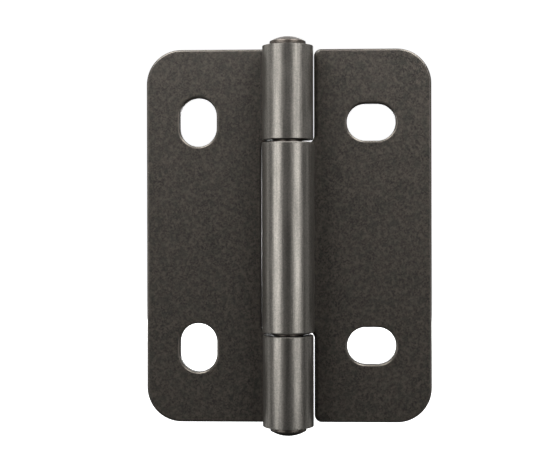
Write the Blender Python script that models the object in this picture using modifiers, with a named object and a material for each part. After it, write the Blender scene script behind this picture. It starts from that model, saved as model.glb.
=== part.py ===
"""An open-flat steel butt hinge: two rolled sheet leaves on one riveted pin.

The pin runs along +Z, the leaves lie in the XZ plane and the barrel stands out towards -Y.
The origin is on the pin's axis at mid-height. The frame leaf is at -X, the door leaf at +X.
Each leaf is drawn as the flat blank that is punched from the sheet, then its tabs are rolled
round the pin, from the back of the leaf over the front, to make the knuckles.
"""

import math

import bmesh
import bpy

# Driving dimensions, in metres.
SHEET = 0.0019
LEAF_HEIGHT = 0.06545
LEAF_REACH = 0.025
CORNER_R = 0.0061
EDGE_ROUND = 0.00025

PIN_R = 0.0025
HEAD_R = 0.00315
HEAD_BAND = 0.00062
DOME_HEIGHT = 0.00095
HEAD_EDGE_R = 0.0002
HEAD_GAP = 0.0001

BARREL_HALF = 0.0329
MIDDLE_HALF = 0.0165
KNUCKLE_GAP = 0.00032
MIDDLE_DROP = 0.00027
OUTER_HALF = MIDDLE_HALF + KNUCKLE_GAP
ROLL_ANGLE = math.radians(302)

FRAME_BORE_R = 0.00252
FRAME_NOTCH = 0.00475
FRAME_NOTCH_R = 0.0012
DOOR_BORE_R = 0.00262
DOOR_NOTCH = 0.00446
DOOR_NOTCH_R = 0.0013
DOOR_INNER_R = 0.0012
TAB_END_R = 0.0005

SLOT_WIDTH = 0.0065
SLOT_LENGTH = 0.00855
FRAME_SLOT_X = 0.0159
FRAME_SLOT_ZS = (-0.0197, 0.01996)
DOOR_SLOT_X = 0.0145
DOOR_SLOT_ZS = (-0.01932, 0.01987)

# How finely the round stretches are divided.
ARC_STEP = math.radians(9)
ROLL_STEP = math.radians(7.5)
PIN_STEPS = 48
DOME_STEPS = 5
EDGE_STEPS = 3
SMALLEST_GAP = 1e-7


def clear_scene():
    for obj in list(bpy.data.objects):
        bpy.data.objects.remove(obj, do_unlink=True)


def make_material(name, colour, metallic, roughness):
    material = bpy.data.materials.new(name)
    material.use_nodes = True
    shader = material.node_tree.nodes["Principled BSDF"]
    shader.inputs["Base Color"].default_value = (*colour, 1.0)
    shader.inputs["Metallic"].default_value = metallic
    shader.inputs["Roughness"].default_value = roughness
    return material


def arc(centre, radius, start, end, steps):
    """Points on an arc from the angle start to the angle end, both included."""
    angles = [start + (end - start) * i / steps for i in range(steps + 1)]
    return [
        (centre[0] + radius * math.cos(a), centre[1] + radius * math.sin(a))
        for a in angles
    ]


def fillet(before, corner, after, radius):
    """The points that round one corner of an outline, on either side of it."""
    if radius == 0:
        return [corner]
    ways = []
    for other in (before, after):
        dx, dy = other[0] - corner[0], other[1] - corner[1]
        length = math.hypot(dx, dy)
        ways.append((dx / length, dy / length))
    (ax, ay), (bx, by) = ways
    half = 0.5 * math.acos(ax * bx + ay * by)
    mid = math.hypot(ax + bx, ay + by)
    reach = radius / math.sin(half)
    centre = (corner[0] + reach * (ax + bx) / mid, corner[1] + reach * (ay + by) / mid)
    inset = radius / math.tan(half)
    first = (corner[0] + inset * ax, corner[1] + inset * ay)
    last = (corner[0] + inset * bx, corner[1] + inset * by)
    start = math.atan2(first[1] - centre[1], first[0] - centre[0])
    end = math.atan2(last[1] - centre[1], last[0] - centre[0])
    turn = (end - start + math.pi) % (2 * math.pi) - math.pi
    steps = max(2, round(abs(turn) / ARC_STEP))
    return arc(centre, radius, start, start + turn, steps)


def rounded(corners):
    """An outline's points, from its corners as (x, y, radius)."""
    points = []
    for i, (x, y, radius) in enumerate(corners):
        before, after = corners[i - 1][:2], corners[(i + 1) % len(corners)][:2]
        for point in fillet(before, (x, y), after, radius):
            if not points or math.dist(point, points[-1]) > SMALLEST_GAP:
                points.append(point)
    if math.dist(points[0], points[-1]) < SMALLEST_GAP:
        points.pop()
    return points


def obround(x, y, size_x, size_y):
    """A slot with round ends, run clockwise so that it is a hole in a counter-clockwise outline."""
    radius = min(size_x, size_y) / 2
    signs = ((-1, -1), (-1, 1), (1, 1), (1, -1))
    return rounded([(x + sx * size_x / 2, y + sy * size_y / 2, radius) for sx, sy in signs])


def mirrored(corners):
    """A stretch of outline mirrored in the plane at mid-height, and run the same way round."""
    return [(x, -y, radius) for x, y, radius in reversed(corners)]


def blank_mesh(name, outlines):
    """The flat blank: outlines in XY, one sheet thick along Z, with rounded edges all round."""
    curve = bpy.data.curves.new(name, "CURVE")
    curve.dimensions = "2D"
    curve.fill_mode = "BOTH"
    curve.extrude = SHEET / 2 - EDGE_ROUND
    curve.bevel_depth = EDGE_ROUND
    curve.bevel_resolution = 1
    curve.offset = -EDGE_ROUND
    for outline in outlines:
        spline = curve.splines.new("POLY")
        spline.points.add(len(outline) - 1)
        for point, (x, y) in zip(spline.points, outline):
            point.co = (x, y, 0, 1)
        spline.use_cyclic_u = True
    flat = bpy.data.objects.new(name, curve)
    bpy.context.scene.collection.objects.link(flat)
    graph = bpy.context.evaluated_depsgraph_get()
    mesh = bpy.data.meshes.new_from_object(flat.evaluated_get(graph))
    bpy.data.objects.remove(flat, do_unlink=True)
    return mesh


def roll_tabs(mesh, bore_r, tab_length):
    """Stands the blank up in XZ behind the pin, and rolls what lies past x = 0 round the pin."""
    middle_r = bore_r + SHEET / 2
    bm = bmesh.new()
    bm.from_mesh(mesh)
    bmesh.ops.remove_doubles(bm, verts=bm.verts, dist=SMALLEST_GAP)
    strips = math.ceil(tab_length / (middle_r * ROLL_STEP))
    for i in range(strips):
        bmesh.ops.bisect_plane(
            bm,
            geom=bm.verts[:] + bm.edges[:] + bm.faces[:],
            dist=SMALLEST_GAP,
            plane_co=(i * middle_r * ROLL_STEP, 0, 0),
            plane_no=(1, 0, 0),
        )
    for vert in bm.verts:
        along, up, radius = vert.co.x, vert.co.y, middle_r - vert.co.z
        angle = max(0, along) / middle_r
        vert.co.x = min(0, along) + radius * math.sin(angle)
        vert.co.y = radius * math.cos(angle)
        vert.co.z = up
    bmesh.ops.triangulate(bm, faces=bm.faces[:])
    bm.to_mesh(mesh)
    bm.free()


def make_leaf(name, collection, material, outline, slots, bore_r, tab_length):
    mesh = blank_mesh(name, [outline, *slots])
    roll_tabs(mesh, bore_r, tab_length)
    mesh.materials.clear()
    mesh.materials.append(material)
    mesh.shade_smooth()
    mesh.set_sharp_from_angle(angle=math.radians(30))
    leaf = bpy.data.objects.new(name, mesh)
    collection.objects.link(leaf)
    return leaf


def make_frame_leaf(collection, material):
    """The leaf at -X, whose two tabs make the end knuckles."""
    tab = ROLL_ANGLE * (FRAME_BORE_R + SHEET / 2)
    below, above = -OUTER_HALF - MIDDLE_DROP, OUTER_HALF - MIDDLE_DROP
    lower_side = [
        (-LEAF_REACH, -LEAF_HEIGHT / 2, CORNER_R),
        (-FRAME_NOTCH, -LEAF_HEIGHT / 2, 0),
        (0, -BARREL_HALF, 0),
        (tab, -BARREL_HALF, TAB_END_R),
    ]
    notch = [
        (tab, below, TAB_END_R),
        (-FRAME_NOTCH, below, FRAME_NOTCH_R),
        (-FRAME_NOTCH, above, FRAME_NOTCH_R),
        (tab, above, TAB_END_R),
    ]
    outline = rounded(lower_side + notch + mirrored(lower_side))
    slots = [obround(-FRAME_SLOT_X, z, SLOT_WIDTH, SLOT_LENGTH) for z in FRAME_SLOT_ZS]
    return make_leaf("frame_leaf", collection, material, outline, slots, FRAME_BORE_R, tab)


def make_door_leaf(collection, material):
    """The leaf with the middle knuckle, drawn upside down at -X, then turned about Y to +X."""
    tab = ROLL_ANGLE * (DOOR_BORE_R + SHEET / 2)
    below, above = MIDDLE_DROP - MIDDLE_HALF, MIDDLE_DROP + MIDDLE_HALF
    lower_side = [
        (-LEAF_REACH, -LEAF_HEIGHT / 2, CORNER_R),
        (-DOOR_NOTCH, -LEAF_HEIGHT / 2, DOOR_INNER_R),
    ]
    knuckle = [
        (-DOOR_NOTCH, below, DOOR_NOTCH_R),
        (tab, below, TAB_END_R),
        (tab, above, TAB_END_R),
        (-DOOR_NOTCH, above, DOOR_NOTCH_R),
    ]
    outline = rounded(lower_side + knuckle + mirrored(lower_side))
    slots = [obround(-DOOR_SLOT_X, -z, SLOT_LENGTH, SLOT_WIDTH) for z in DOOR_SLOT_ZS]
    leaf = make_leaf("door_leaf", collection, material, outline, slots, DOOR_BORE_R, tab)
    leaf.rotation_euler = (0, math.pi, 0)
    return leaf


def head_profile():
    """The top head's outer side as (radius, height), from the apex down to the shaft."""
    under = BARREL_HALF + HEAD_GAP
    rim = under + HEAD_BAND
    dome_r = (HEAD_R**2 + DOME_HEIGHT**2) / (2 * DOME_HEIGHT)
    centre = rim + DOME_HEIGHT - dome_r
    rim_angle = math.asin((HEAD_R - HEAD_EDGE_R) / dome_r)
    top = math.pi / 2
    dome = arc((0, centre), dome_r, top, top - rim_angle, DOME_STEPS)
    dome[0] = (0, centre + dome_r)
    edge_end = dome[-1][1] - HEAD_EDGE_R
    upper_edge = arc((HEAD_R - HEAD_EDGE_R, edge_end), HEAD_EDGE_R, top, 0, EDGE_STEPS)
    lower_edge = arc((HEAD_R - HEAD_EDGE_R, under + HEAD_EDGE_R), HEAD_EDGE_R, 0, -top, EDGE_STEPS)
    return dome[:-1] + upper_edge + lower_edge + [(PIN_R, under)]


def make_pin(collection, material):
    """The pin with a low domed head formed at each end, turned from its profile."""
    upper = head_profile()
    profile = upper + [(r, -z) for r, z in reversed(upper)]
    bm = bmesh.new()
    verts = [bm.verts.new((r, 0, z)) for r, z in profile]
    for above, below in zip(verts, verts[1:]):
        bm.edges.new((above, below))
    mesh = bpy.data.meshes.new("hinge_pin")
    bm.to_mesh(mesh)
    bm.free()
    mesh.materials.append(material)
    pin = bpy.data.objects.new("hinge_pin", mesh)
    collection.objects.link(pin)
    turn = pin.modifiers.new("turn", "SCREW")
    turn.axis = "Z"
    turn.angle = 2 * math.pi
    turn.steps = PIN_STEPS
    turn.render_steps = PIN_STEPS
    turn.use_merge_vertices = True
    turn.merge_threshold = 1e-6
    turn.use_smooth_shade = True
    return pin


def main():
    clear_scene()
    collection = bpy.data.collections.new("butt_hinge")
    bpy.context.scene.collection.children.link(collection)
    leaf_steel = make_material("blackened_steel", (0.05, 0.044, 0.038), 0.6, 0.5)
    pin_steel = make_material("burnished_steel", (0.17, 0.16, 0.15), 1.0, 0.35)
    make_frame_leaf(collection, leaf_steel)
    make_door_leaf(collection, leaf_steel)
    make_pin(collection, pin_steel)


main()
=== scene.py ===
"""The looks of an open-flat steel butt hinge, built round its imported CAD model.

Units are metres, in the CAD frame: the pin along +Z, the leaves in XZ, the barrel towards -Y.
Each CAD solid is replaced by a finer mesh of the same shape, with soft punched edges.
"""

import math

import bmesh
import bpy
from mathutils import Matrix, Vector


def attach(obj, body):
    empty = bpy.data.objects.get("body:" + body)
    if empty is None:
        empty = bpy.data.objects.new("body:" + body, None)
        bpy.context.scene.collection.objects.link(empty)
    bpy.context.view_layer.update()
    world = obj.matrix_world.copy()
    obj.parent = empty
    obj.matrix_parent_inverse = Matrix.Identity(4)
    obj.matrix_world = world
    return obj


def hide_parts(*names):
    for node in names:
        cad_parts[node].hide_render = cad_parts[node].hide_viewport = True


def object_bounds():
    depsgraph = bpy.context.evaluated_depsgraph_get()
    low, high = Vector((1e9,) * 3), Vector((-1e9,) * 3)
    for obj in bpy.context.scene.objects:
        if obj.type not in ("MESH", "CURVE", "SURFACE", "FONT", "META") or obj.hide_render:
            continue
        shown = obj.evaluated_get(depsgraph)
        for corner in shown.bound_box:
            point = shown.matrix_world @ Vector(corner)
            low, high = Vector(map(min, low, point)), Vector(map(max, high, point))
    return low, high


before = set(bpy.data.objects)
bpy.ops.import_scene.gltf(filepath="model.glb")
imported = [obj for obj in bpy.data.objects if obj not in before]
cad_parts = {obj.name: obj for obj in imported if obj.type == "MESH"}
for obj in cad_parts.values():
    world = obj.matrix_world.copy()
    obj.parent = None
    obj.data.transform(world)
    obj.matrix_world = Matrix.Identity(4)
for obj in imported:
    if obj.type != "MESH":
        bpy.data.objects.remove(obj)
cad_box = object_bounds()

# Driving dimensions, the same as the CAD model's.
SHEET = 0.0019
LEAF_HEIGHT = 0.06545
LEAF_REACH = 0.025
CORNER_R = 0.0061

PIN_R = 0.0025
HEAD_R = 0.00315
HEAD_BAND = 0.00062
DOME_HEIGHT = 0.00095
HEAD_EDGE_R = 0.0002
HEAD_GAP = 0.0001

BARREL_HALF = 0.0329
MIDDLE_HALF = 0.0165
KNUCKLE_GAP = 0.00032
MIDDLE_DROP = 0.00027
OUTER_HALF = MIDDLE_HALF + KNUCKLE_GAP
ROLL_ANGLE = math.radians(302)

FRAME_BORE_R = 0.00252
FRAME_NOTCH = 0.00475
FRAME_NOTCH_R = 0.0012
DOOR_BORE_R = 0.00262
DOOR_NOTCH = 0.00446
DOOR_NOTCH_R = 0.0013
DOOR_INNER_R = 0.0012
TAB_END_R = 0.0005

SLOT_WIDTH = 0.0065
SLOT_LENGTH = 0.00855
FRAME_SLOT_X = 0.0159
FRAME_SLOT_ZS = (-0.0197, 0.01996)
DOOR_SLOT_X = 0.0145
DOOR_SLOT_ZS = (-0.01932, 0.01987)

# The punched edge's section, from the leaf's front face to its back, as (inset, depth, wear,
# painted shade). The punch rolls the front edge over and its shoulder is rubbed bright. The last
# column paints shade on the wall and the back shoulder; it shows only on the barrel, where it turns
# the knuckles' ends, at the gaps and under the heads, back to the leaves' blackened finish. The back
# edge is nearly sharp. The roll turns the sheet over, so on the barrel the front face lines the bore
# and the back face is the outside.
EDGE_SECTION = (
    (0.00050, 0.0, 0.0, 0.0),
    (0.00036, 0.000015, 0.0, 0.0),
    (0.00027, 0.00004, 0.5, 0.0),
    (0.00018, 0.00009, 1.0, 0.3),
    (0.00011, 0.00015, 1.0, 0.8),
    (0.00005, 0.00024, 0.5, 1.0),
    (0.00001, 0.00035, 0.0, 1.0),
    (0.0, 0.00048, 0.0, 1.0),
    (0.0, 0.00150, 0.0, 1.0),
    (0.00002, SHEET - 0.00006, 0.0, 1.0),
    (0.00005, SHEET - 0.00002, 0.0, 0.8),
    (0.00009, SHEET, 0.0, 0.0),
)
# The door leaf's front edge beside the end knuckles is rolled over further, by the first factor,
# which fades out over the distance. The second is for the back edge where a knuckle faces a gap.
DEEP_ROLL = 2.0
ROLL_BLEND = 0.0012
GAP_ROLL = 2.5

# How finely the round stretches are divided.
ARC_STEP = math.radians(4)
ROLL_STEP = math.radians(3)
PIN_STEPS = 128
DOME_STEPS = 14
EDGE_STEPS = 5
SMALLEST_GAP = 1e-7
SHARPEST_MITRE = 0.3
SMOOTH_ANGLE = math.radians(50)

# The finish: base colours, then metallic, roughness and relief values.
LEAF_DARK = (0.010, 0.009, 0.008)
LEAF_LIGHT = (0.054, 0.0455, 0.0375)
LEAF_BROWN = (0.040, 0.032, 0.025)
LEAF_PALE = (0.080, 0.068, 0.0555)
LEAF_GREEN = (0.024, 0.0245, 0.0195)
EDGE_BRIGHT = (0.125, 0.112, 0.097)
BARREL_DARK = (0.172, 0.163, 0.148)
BARREL_LIGHT = (0.300, 0.281, 0.253)
PIN_DARK = (0.082, 0.070, 0.060)
PIN_LIGHT = (0.160, 0.140, 0.122)
LEAF_METALLIC = 0.25
BARREL_METALLIC = 0.95
LEAF_ROUGHNESS = 0.44
BARREL_ROUGHNESS = 0.34
PIN_ROUGHNESS = 0.38
LEAF_RELIEF = 0.5
BARREL_RELIEF = 0.2
LEAF_BUMP = 0.00002
PIN_BUMP = 0.00001
# How much burnish the knuckles' ends keep where the painted shade is full.
RIM_BURNISH = 0.05
# The burnishing fades in between these depths, as the sheet turns out of the leaf into the roll.
BURNISH_FROM = 0.0024
BURNISH_FULL = 0.0010

# The noise is turned off the object's axes, so that no flat face lies along its lattice.
NOISE_TURN = (0.5, 0.3, 0.7)

# The studio.
FLOOR_SIZE = 2.0
FLOOR_DROP = 0.03
WALL_R = 3.0
WORLD_LIGHT = (0.025, 0.025, 0.025, 1)


def arc(centre, radius, start, end, steps):
    """Points on an arc from the angle start to the angle end, both included."""
    angles = [start + (end - start) * i / steps for i in range(steps + 1)]
    return [
        (centre[0] + radius * math.cos(a), centre[1] + radius * math.sin(a))
        for a in angles
    ]


def fillet(before, corner, after, radius):
    """The points that round one corner of an outline, on either side of it."""
    if radius == 0:
        return [corner]
    ways = []
    for other in (before, after):
        dx, dy = other[0] - corner[0], other[1] - corner[1]
        length = math.hypot(dx, dy)
        ways.append((dx / length, dy / length))
    (ax, ay), (bx, by) = ways
    half = 0.5 * math.acos(ax * bx + ay * by)
    mid = math.hypot(ax + bx, ay + by)
    reach = radius / math.sin(half)
    centre = (corner[0] + reach * (ax + bx) / mid, corner[1] + reach * (ay + by) / mid)
    inset = radius / math.tan(half)
    first = (corner[0] + inset * ax, corner[1] + inset * ay)
    last = (corner[0] + inset * bx, corner[1] + inset * by)
    start = math.atan2(first[1] - centre[1], first[0] - centre[0])
    end = math.atan2(last[1] - centre[1], last[0] - centre[0])
    turn = (end - start + math.pi) % (2 * math.pi) - math.pi
    steps = max(3, round(abs(turn) / ARC_STEP))
    return arc(centre, radius, start, start + turn, steps)


def rounded(corners):
    """An outline's points, from its corners as (x, y, radius)."""
    points = []
    for i, (x, y, radius) in enumerate(corners):
        before, after = corners[i - 1][:2], corners[(i + 1) % len(corners)][:2]
        for point in fillet(before, (x, y), after, radius):
            if not points or math.dist(point, points[-1]) > SMALLEST_GAP:
                points.append(point)
    if math.dist(points[0], points[-1]) < SMALLEST_GAP:
        points.pop()
    return points


def obround(x, y, size_x, size_y):
    """A slot with round ends, run clockwise so that it is a hole in a counter-clockwise outline."""
    radius = min(size_x, size_y) / 2
    signs = ((-1, -1), (-1, 1), (1, 1), (1, -1))
    return rounded([(x + sx * size_x / 2, y + sy * size_y / 2, radius) for sx, sy in signs])


def mirrored(corners):
    """A stretch of outline mirrored in the plane at mid-height, and run the same way round."""
    return [(x, -y, radius) for x, y, radius in reversed(corners)]


def inset_outline(points, distance):
    """The outline moved inwards, to its left as it runs, by a distance."""
    moved = []
    for i, (x, y) in enumerate(points):
        (bx, by), (ax, ay) = points[i - 1], points[(i + 1) % len(points)]
        first = Vector((x - bx, y - by)).normalized()
        second = Vector((ax - x, ay - y)).normalized()
        left = Vector((-first.y - second.y, first.x + second.x)).normalized()
        scale = distance / max(SHARPEST_MITRE, left.dot(Vector((-first.y, first.x))))
        moved.append((x + left.x * scale, y + left.y * scale))
    return moved


def faces_gap(x, y):
    """Whether a point of a blank's outline lies on the tabs' edges between the knuckles."""
    return x >= 0 and abs(y) < BARREL_HALF - ROLL_BLEND


def add_blank(bm, outlines, pull):
    """The flat blank with its punched edges: outlines in XY, the front face up, at z = SHEET / 2.

    Where pull(x, y) is 1 and not 0, the front edge is rolled over further, and isn't worn.
    """
    wear_layer = bm.verts.layers.float.new("edge_wear")
    # Painted shade for the knuckles' ends, from the section's last column.
    painted_shade_layer = bm.verts.layers.float.new("edge_painted_shade")
    caps = {0: [], len(EDGE_SECTION) - 1: []}
    for outline in outlines:
        pulls = [pull(x, y) for x, y in outline]
        gap_rolls = [GAP_ROLL if faces_gap(x, y) else 1 for x, y in outline]
        rings = []
        for inset, depth, wear, painted_shade in EDGE_SECTION:
            at_front = depth < SHEET / 2
            rolls = [1 + (DEEP_ROLL - 1) * p for p in pulls] if at_front else gap_rolls
            plain = inset_outline(outline, inset)
            ring = []
            for (ox, oy), (px, py), amount, roll in zip(outline, plain, pulls, rolls):
                height = SHEET / 2 - depth * roll if at_front else (SHEET - depth) * roll - SHEET / 2
                vert = bm.verts.new((ox + (px - ox) * roll, oy + (py - oy) * roll, height))
                vert[wear_layer] = wear * (1 - amount)
                vert[painted_shade_layer] = painted_shade
                ring.append(vert)
            rings.append(ring)
        count = len(outline)
        for upper, lower in zip(rings, rings[1:]):
            for i in range(count):
                j = (i + 1) % count
                bm.faces.new((upper[i], lower[i], lower[j], upper[j]))
        for index, edges in caps.items():
            ring = rings[index]
            edges += [bm.edges.get((ring[i - 1], ring[i])) for i in range(count)]
    for edges in caps.values():
        bmesh.ops.triangle_fill(bm, use_beauty=True, edges=edges)
    bmesh.ops.recalc_face_normals(bm, faces=bm.faces[:])


def roll_tabs(bm, bore_r, tab_length):
    """Stands the blank up in XZ behind the pin, and rolls what lies past x = 0 round the pin."""
    middle_r = bore_r + SHEET / 2
    strips = math.ceil(tab_length / (middle_r * ROLL_STEP))
    for i in range(strips):
        bmesh.ops.bisect_plane(
            bm,
            geom=bm.verts[:] + bm.edges[:] + bm.faces[:],
            dist=SMALLEST_GAP,
            plane_co=(i * middle_r * ROLL_STEP, 0, 0),
            plane_no=(1, 0, 0),
        )
    for vert in bm.verts:
        along, up, radius = vert.co.x, vert.co.y, middle_r - vert.co.z
        angle = max(0, along) / middle_r
        vert.co.x = min(0, along) + radius * math.sin(angle)
        vert.co.y = radius * math.cos(angle)
        vert.co.z = up


def finish_mesh(obj):
    """Smooth shading, with the broad flat faces keeping their own normals."""
    obj.data.shade_smooth()
    obj.data.set_sharp_from_angle(angle=SMOOTH_ANGLE)
    weighted = obj.modifiers.new("weighted_normals", "WEIGHTED_NORMAL")
    weighted.mode = "FACE_AREA"
    weighted.keep_sharp = True


def make_leaf(name, outline, slots, bore_r, tab_length, pull, turned):
    bm = bmesh.new()
    add_blank(bm, [outline, *slots], pull)
    roll_tabs(bm, bore_r, tab_length)
    if turned:
        bmesh.ops.rotate(bm, verts=bm.verts, matrix=Matrix.Rotation(math.pi, 3, "Y"))
    mesh = bpy.data.meshes.new(name)
    bm.to_mesh(mesh)
    bm.free()
    leaf = bpy.data.objects.new(name, mesh)
    bpy.context.scene.collection.objects.link(leaf)
    finish_mesh(leaf)
    return leaf


def make_frame_leaf():
    """The leaf at -X, whose two tabs make the end knuckles."""
    tab = ROLL_ANGLE * (FRAME_BORE_R + SHEET / 2)
    below, above = -OUTER_HALF - MIDDLE_DROP, OUTER_HALF - MIDDLE_DROP
    lower_side = [
        (-LEAF_REACH, -LEAF_HEIGHT / 2, CORNER_R),
        (-FRAME_NOTCH, -LEAF_HEIGHT / 2, 0),
        (0, -BARREL_HALF, 0),
        (tab, -BARREL_HALF, TAB_END_R),
    ]
    notch = [
        (tab, below, TAB_END_R),
        (0, below, 0),
        (-FRAME_NOTCH, below, FRAME_NOTCH_R),
        (-FRAME_NOTCH, above, FRAME_NOTCH_R),
        (0, above, 0),
        (tab, above, TAB_END_R),
    ]
    outline = rounded(lower_side + notch + mirrored(lower_side))
    slots = [obround(-FRAME_SLOT_X, z, SLOT_WIDTH, SLOT_LENGTH) for z in FRAME_SLOT_ZS]

    def pull(x, y):
        """No front edge of this leaf is rolled over further."""
        return 0

    return make_leaf("frame_leaf_skin", outline, slots, FRAME_BORE_R, tab, pull, False)


def make_door_leaf():
    """The leaf with the middle knuckle, drawn upside down at -X, then turned about Y to +X."""
    tab = ROLL_ANGLE * (DOOR_BORE_R + SHEET / 2)
    below, above = MIDDLE_DROP - MIDDLE_HALF, MIDDLE_DROP + MIDDLE_HALF
    lower_side = [
        (-LEAF_REACH, -LEAF_HEIGHT / 2, CORNER_R),
        (-DOOR_NOTCH, -LEAF_HEIGHT / 2, DOOR_INNER_R),
    ]
    knuckle = [
        (-DOOR_NOTCH, below, DOOR_NOTCH_R),
        (0, below, 0),
        (tab, below, TAB_END_R),
        (tab, above, TAB_END_R),
        (0, above, 0),
        (-DOOR_NOTCH, above, DOOR_NOTCH_R),
    ]
    outline = rounded(lower_side + knuckle + mirrored(lower_side))
    slots = [obround(-DOOR_SLOT_X, -z, SLOT_LENGTH, SLOT_WIDTH) for z in DOOR_SLOT_ZS]

    def pull(x, y):
        """The edges beside the end knuckles."""
        return max(0, 1 - abs(x + DOOR_NOTCH) / ROLL_BLEND)

    return make_leaf("door_leaf_skin", outline, slots, DOOR_BORE_R, tab, pull, True)


def head_profile():
    """The top head's outer side as (radius, height), from the apex down to the shaft."""
    under = BARREL_HALF + HEAD_GAP
    rim = under + HEAD_BAND
    dome_r = (HEAD_R**2 + DOME_HEIGHT**2) / (2 * DOME_HEIGHT)
    centre = rim + DOME_HEIGHT - dome_r
    rim_angle = math.asin((HEAD_R - HEAD_EDGE_R) / dome_r)
    top = math.pi / 2
    dome = arc((0, centre), dome_r, top, top - rim_angle, DOME_STEPS)
    dome[0] = (0, centre + dome_r)
    edge_end = dome[-1][1] - HEAD_EDGE_R
    upper_edge = arc((HEAD_R - HEAD_EDGE_R, edge_end), HEAD_EDGE_R, top, 0, EDGE_STEPS)
    lower_edge = arc(
        (HEAD_R - HEAD_EDGE_R, under + HEAD_EDGE_R), HEAD_EDGE_R, 0, -top, EDGE_STEPS
    )
    return dome[:-1] + upper_edge + lower_edge + [(PIN_R, under)]


def make_pin():
    """The pin with a low domed head formed at each end, turned from its profile."""
    upper = head_profile()
    profile = upper + [(r, -z) for r, z in reversed(upper)]
    bm = bmesh.new()
    rings = []
    for r, z in profile:
        turns = [2 * math.pi * i / PIN_STEPS for i in range(PIN_STEPS if r else 1)]
        rings.append([bm.verts.new((r * math.cos(t), r * math.sin(t), z)) for t in turns])
    for above, below in zip(rings, rings[1:]):
        for i in range(PIN_STEPS):
            pairs = ((above, i), (below, i), (below, i + 1), (above, i + 1))
            corners = [ring[turn % len(ring)] for ring, turn in pairs]
            bm.faces.new(list(dict.fromkeys(corners)))
    mesh = bpy.data.meshes.new("hinge_pin_skin")
    bm.to_mesh(mesh)
    bm.free()
    pin = bpy.data.objects.new("hinge_pin_skin", mesh)
    bpy.context.scene.collection.objects.link(pin)
    finish_mesh(pin)
    return pin


def new_material(name):
    material = bpy.data.materials.new(name)
    material.use_nodes = True
    return material, material.node_tree.nodes, material.node_tree.links


def noise(nodes, links, vector, scale, detail, stretch=(1, 1, 1)):
    """A noise texture's output, with features about 1 / scale metres across, times the stretch."""
    mapping = nodes.new("ShaderNodeMapping")
    mapping.inputs["Scale"].default_value = [1 / s for s in stretch]
    mapping.inputs["Rotation"].default_value = NOISE_TURN
    links.new(vector, mapping.inputs["Vector"])
    texture = nodes.new("ShaderNodeTexNoise")
    texture.inputs["Scale"].default_value = scale
    texture.inputs["Detail"].default_value = detail
    links.new(mapping.outputs["Vector"], texture.inputs["Vector"])
    return texture.outputs["Fac"]


def ramp(nodes, links, value, low, high, bottom, top, smooth=False):
    """Maps a value from low..high to bottom..top, held at both ends."""
    mapped = nodes.new("ShaderNodeMapRange")
    mapped.interpolation_type = "SMOOTHSTEP" if smooth else "LINEAR"
    mapped.inputs["From Min"].default_value = low
    mapped.inputs["From Max"].default_value = high
    mapped.inputs["To Min"].default_value = bottom
    mapped.inputs["To Max"].default_value = top
    links.new(value, mapped.inputs["Value"])
    return mapped.outputs["Result"]


def maths(nodes, links, operation, first, second):
    """One maths node on two values, each a socket or a number."""
    node = nodes.new("ShaderNodeMath")
    node.operation = operation
    for socket, value in zip(node.inputs, (first, second)):
        if isinstance(value, (int, float)):
            socket.default_value = value
        else:
            links.new(value, socket)
    return node.outputs[0]


def mix_colour(nodes, links, factor, first, second):
    """A blend of two colours, each a socket or a tuple."""
    node = nodes.new("ShaderNodeMix")
    node.data_type = "RGBA"
    links.new(factor, node.inputs["Factor"])
    for name, value in (("A", first), ("B", second)):
        if isinstance(value, tuple):
            node.inputs[name].default_value = (*value, 1)
        else:
            links.new(value, node.inputs[name])
    return node.outputs["Result"]


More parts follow.
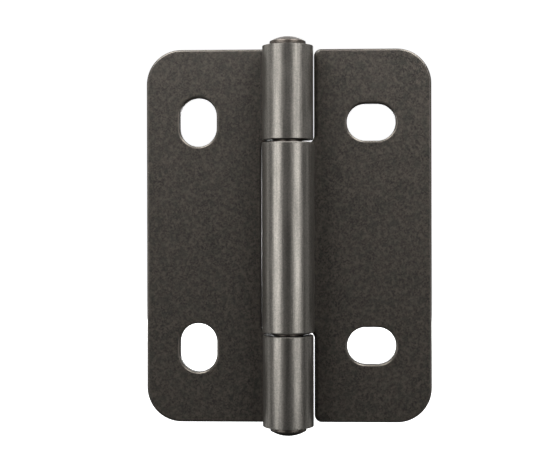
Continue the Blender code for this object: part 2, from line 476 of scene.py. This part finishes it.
def leaf_material(name):
    """Blackened steel: matte and grainy on the flats, with a burnish where it is rolled or rubbed,
    and painted shade that gives the knuckles' ends the flats' blackened finish.
    """
    material, nodes, links = new_material(name)
    shader = nodes["Principled BSDF"]
    place = nodes.new("ShaderNodeTexCoord").outputs["Object"]

    def sum_of(first, second):
        return maths(nodes, links, "ADD", first, second)

    def product(first, second):
        return maths(nodes, links, "MULTIPLY", first, second)

    def between(value, low, high, bottom, top):
        return ramp(nodes, links, value, low, high, bottom, top)

    def attribute(layer):
        node = nodes.new("ShaderNodeAttribute")
        node.attribute_name = layer
        return node.outputs["Fac"]

    split = nodes.new("ShaderNodeSeparateXYZ")
    links.new(place, split.inputs[0])
    rolled = ramp(nodes, links, split.outputs["Y"], BURNISH_FROM, BURNISH_FULL, 0, 1, True)
    # Painted shade: at the knuckles' ends the barrel's burnish gives way to the leaves' blackened
    # colour.
    burnish_with_painted_shade = product(rolled, between(attribute("edge_painted_shade"), 0, 1, 1, RIM_BURNISH))
    rubbed = product(attribute("edge_wear"), between(rolled, 0, 1, 1, 0))
    bare = maths(nodes, links, "MAXIMUM", burnish_with_painted_shade, rubbed)

    grain = noise(nodes, links, place, 3200, 3)
    fine = noise(nodes, links, place, 7000, 2)
    tint = noise(nodes, links, place, 900, 2)
    cloud = noise(nodes, links, place, 260, 4)
    mottle = noise(nodes, links, place, 1500, 3)
    streak = noise(nodes, links, place, 3000, 2, (1, 1, 30))

    leaf = mix_colour(nodes, links, between(grain, 0.38, 0.62, 0, 1), LEAF_DARK, LEAF_LIGHT)
    leaf = mix_colour(nodes, links, between(cloud, 0.35, 0.65, 0, 0.4), leaf, LEAF_BROWN)
    leaf = mix_colour(nodes, links, between(tint, 0.45, 0.65, 0, 0.6), leaf, LEAF_GREEN)
    leaf = mix_colour(nodes, links, between(mottle, 0.46, 0.68, 0, 0.55), leaf, LEAF_PALE)
    lines = between(sum_of(sum_of(fine, streak), grain), 1.2, 1.8, 0, 1)
    barrel = mix_colour(nodes, links, lines, BARREL_DARK, BARREL_LIGHT)
    colour = mix_colour(nodes, links, burnish_with_painted_shade, leaf, barrel)
    links.new(mix_colour(nodes, links, rubbed, colour, EDGE_BRIGHT), shader.inputs["Base Color"])

    links.new(between(bare, 0, 1, LEAF_METALLIC, BARREL_METALLIC), shader.inputs["Metallic"])
    gloss = between(bare, 0, 1, LEAF_ROUGHNESS, BARREL_ROUGHNESS)
    links.new(sum_of(gloss, between(cloud, 0.3, 0.7, -0.03, 0.03)), shader.inputs["Roughness"])

    depth = between(burnish_with_painted_shade, 0, 1, LEAF_RELIEF, BARREL_RELIEF)
    bump = nodes.new("ShaderNodeBump")
    bump.inputs["Distance"].default_value = LEAF_BUMP
    links.new(product(sum_of(grain, fine), depth), bump.inputs["Height"])
    links.new(bump.outputs["Normal"], shader.inputs["Normal"])
    return material


def pin_material(name):
    """Dark, smoother steel with a patchy skin, as the riveting left it."""
    material, nodes, links = new_material(name)
    shader = nodes["Principled BSDF"]
    shader.inputs["Metallic"].default_value = BARREL_METALLIC
    place = nodes.new("ShaderNodeTexCoord").outputs["Object"]
    fine = noise(nodes, links, place, 5000, 3)
    cloud = noise(nodes, links, place, 700, 3)
    patchy = ramp(nodes, links, maths(nodes, links, "ADD", fine, cloud), 0.75, 1.25, 0, 1)
    links.new(mix_colour(nodes, links, patchy, PIN_DARK, PIN_LIGHT), shader.inputs["Base Color"])
    gloss = ramp(nodes, links, cloud, 0.3, 0.7, PIN_ROUGHNESS - 0.04, PIN_ROUGHNESS + 0.05)
    links.new(gloss, shader.inputs["Roughness"])
    bump = nodes.new("ShaderNodeBump")
    bump.inputs["Distance"].default_value = PIN_BUMP
    links.new(fine, bump.inputs["Height"])
    links.new(bump.outputs["Normal"], shader.inputs["Normal"])
    return material


def stage_material(name, strength):
    material, nodes, links = new_material(name)
    shader = nodes["Principled BSDF"]
    shader.inputs["Base Color"].default_value = (0.9, 0.9, 0.9, 1)
    shader.inputs["Roughness"].default_value = 0.9
    shader.inputs["Emission Color"].default_value = (1, 1, 1, 1)
    shader.inputs["Emission Strength"].default_value = strength
    return material


def add_stage(name, bm, location, material):
    """A plain white surface that the camera sees, and that doesn't light the object."""
    mesh = bpy.data.meshes.new(name)
    bm.to_mesh(mesh)
    bm.free()
    mesh.materials.append(material)
    surface = bpy.data.objects.new(name, mesh)
    surface.location = location
    surface.visible_diffuse = False
    surface.visible_glossy = False
    surface.visible_shadow = False
    bpy.context.scene.collection.objects.link(surface)


def add_floor_and_wall():
    white = stage_material("stage_white", 1.0)
    floor = bmesh.new()
    bmesh.ops.create_grid(floor, x_segments=1, y_segments=1, size=FLOOR_SIZE / 2)
    add_stage("floor", floor, (0, 0, cad_box[0][2] - FLOOR_DROP), white)
    wall = bmesh.new()
    bmesh.ops.create_uvsphere(wall, u_segments=48, v_segments=24, radius=WALL_R)
    add_stage("studio_wall", wall, (0, 0, 0), white)


def add_light(name, azimuth, elevation, distance, width, height, power):
    """A softbox aimed at the origin. Azimuth 0 is the camera's side (-Y), positive towards +X."""
    light = bpy.data.lights.new(name, "AREA")
    light.shape = "RECTANGLE"
    light.size = width
    light.size_y = height
    light.energy = power
    box = bpy.data.objects.new(name, light)
    a, e = math.radians(azimuth), math.radians(elevation)
    box.location = distance * Vector(
        (math.sin(a) * math.cos(e), -math.cos(a) * math.cos(e), math.sin(e))
    )
    box.rotation_euler = (-box.location).to_track_quat("-Z", "Y").to_euler()
    box.visible_camera = False
    bpy.context.scene.collection.objects.link(box)


def add_camera():
    """A long lens a little right of the pin and above mid-height, level, with the frame slid down."""
    camera = bpy.data.cameras.new("camera")
    camera.lens = 81.1
    camera.sensor_width = 36
    camera.shift_x = -0.0218
    camera.shift_y = -0.0412
    camera.clip_start = 0.01
    camera.clip_end = 10
    holder = bpy.data.objects.new("camera", camera)
    holder.location = (0.009, -0.2144, 0.004)
    holder.rotation_euler = (math.radians(90), math.radians(0.12), math.radians(2.45))
    bpy.context.scene.collection.objects.link(holder)
    bpy.context.scene.camera = holder


def main():
    scene = bpy.context.scene
    scene.view_settings.view_transform = "Standard"

    leaf_steel = leaf_material("blackened_steel")
    pin_steel = pin_material("pin_steel")
    for node, body, make, material in (
        ("frame_leaf", "frame_side", make_frame_leaf, leaf_steel),
        ("door_leaf", "door_side", make_door_leaf, leaf_steel),
        ("hinge_pin", "frame_side", make_pin, pin_steel),
    ):
        piece = make()
        piece.data.materials.append(material)
        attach(piece, body)
        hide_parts(node)

    add_floor_and_wall()
    add_light("softbox_left", -47, 0.5, 0.6, 0.38, 0.24, 1.02)
    add_light("softbox_right", 43, 0.5, 0.6, 0.33, 0.24, 0.84)
    add_light("side_left", -108, 2, 0.5, 0.36, 0.4, 0.36)
    add_light("side_right", 108, 2, 0.5, 0.36, 0.4, 0.22)
    add_light("top_left", -50, 55, 0.15, 0.09, 0.09, 0.29)
    add_light("top_right", 50, 55, 0.15, 0.09, 0.09, 0.28)
    add_light("low_front", 0, -55, 0.3, 0.2, 0.12, 0.025)
    add_light("back_soft", 180, 30, 0.6, 0.6, 0.4, 1.2)
    add_light("back_strip", 180, 0, 0.6, 0.6, 0.05, 0.9)

    world = bpy.data.worlds.new("world")
    world.use_nodes = True
    world.node_tree.nodes["Background"].inputs["Color"].default_value = WORLD_LIGHT
    scene.world = world
    add_camera()


main()
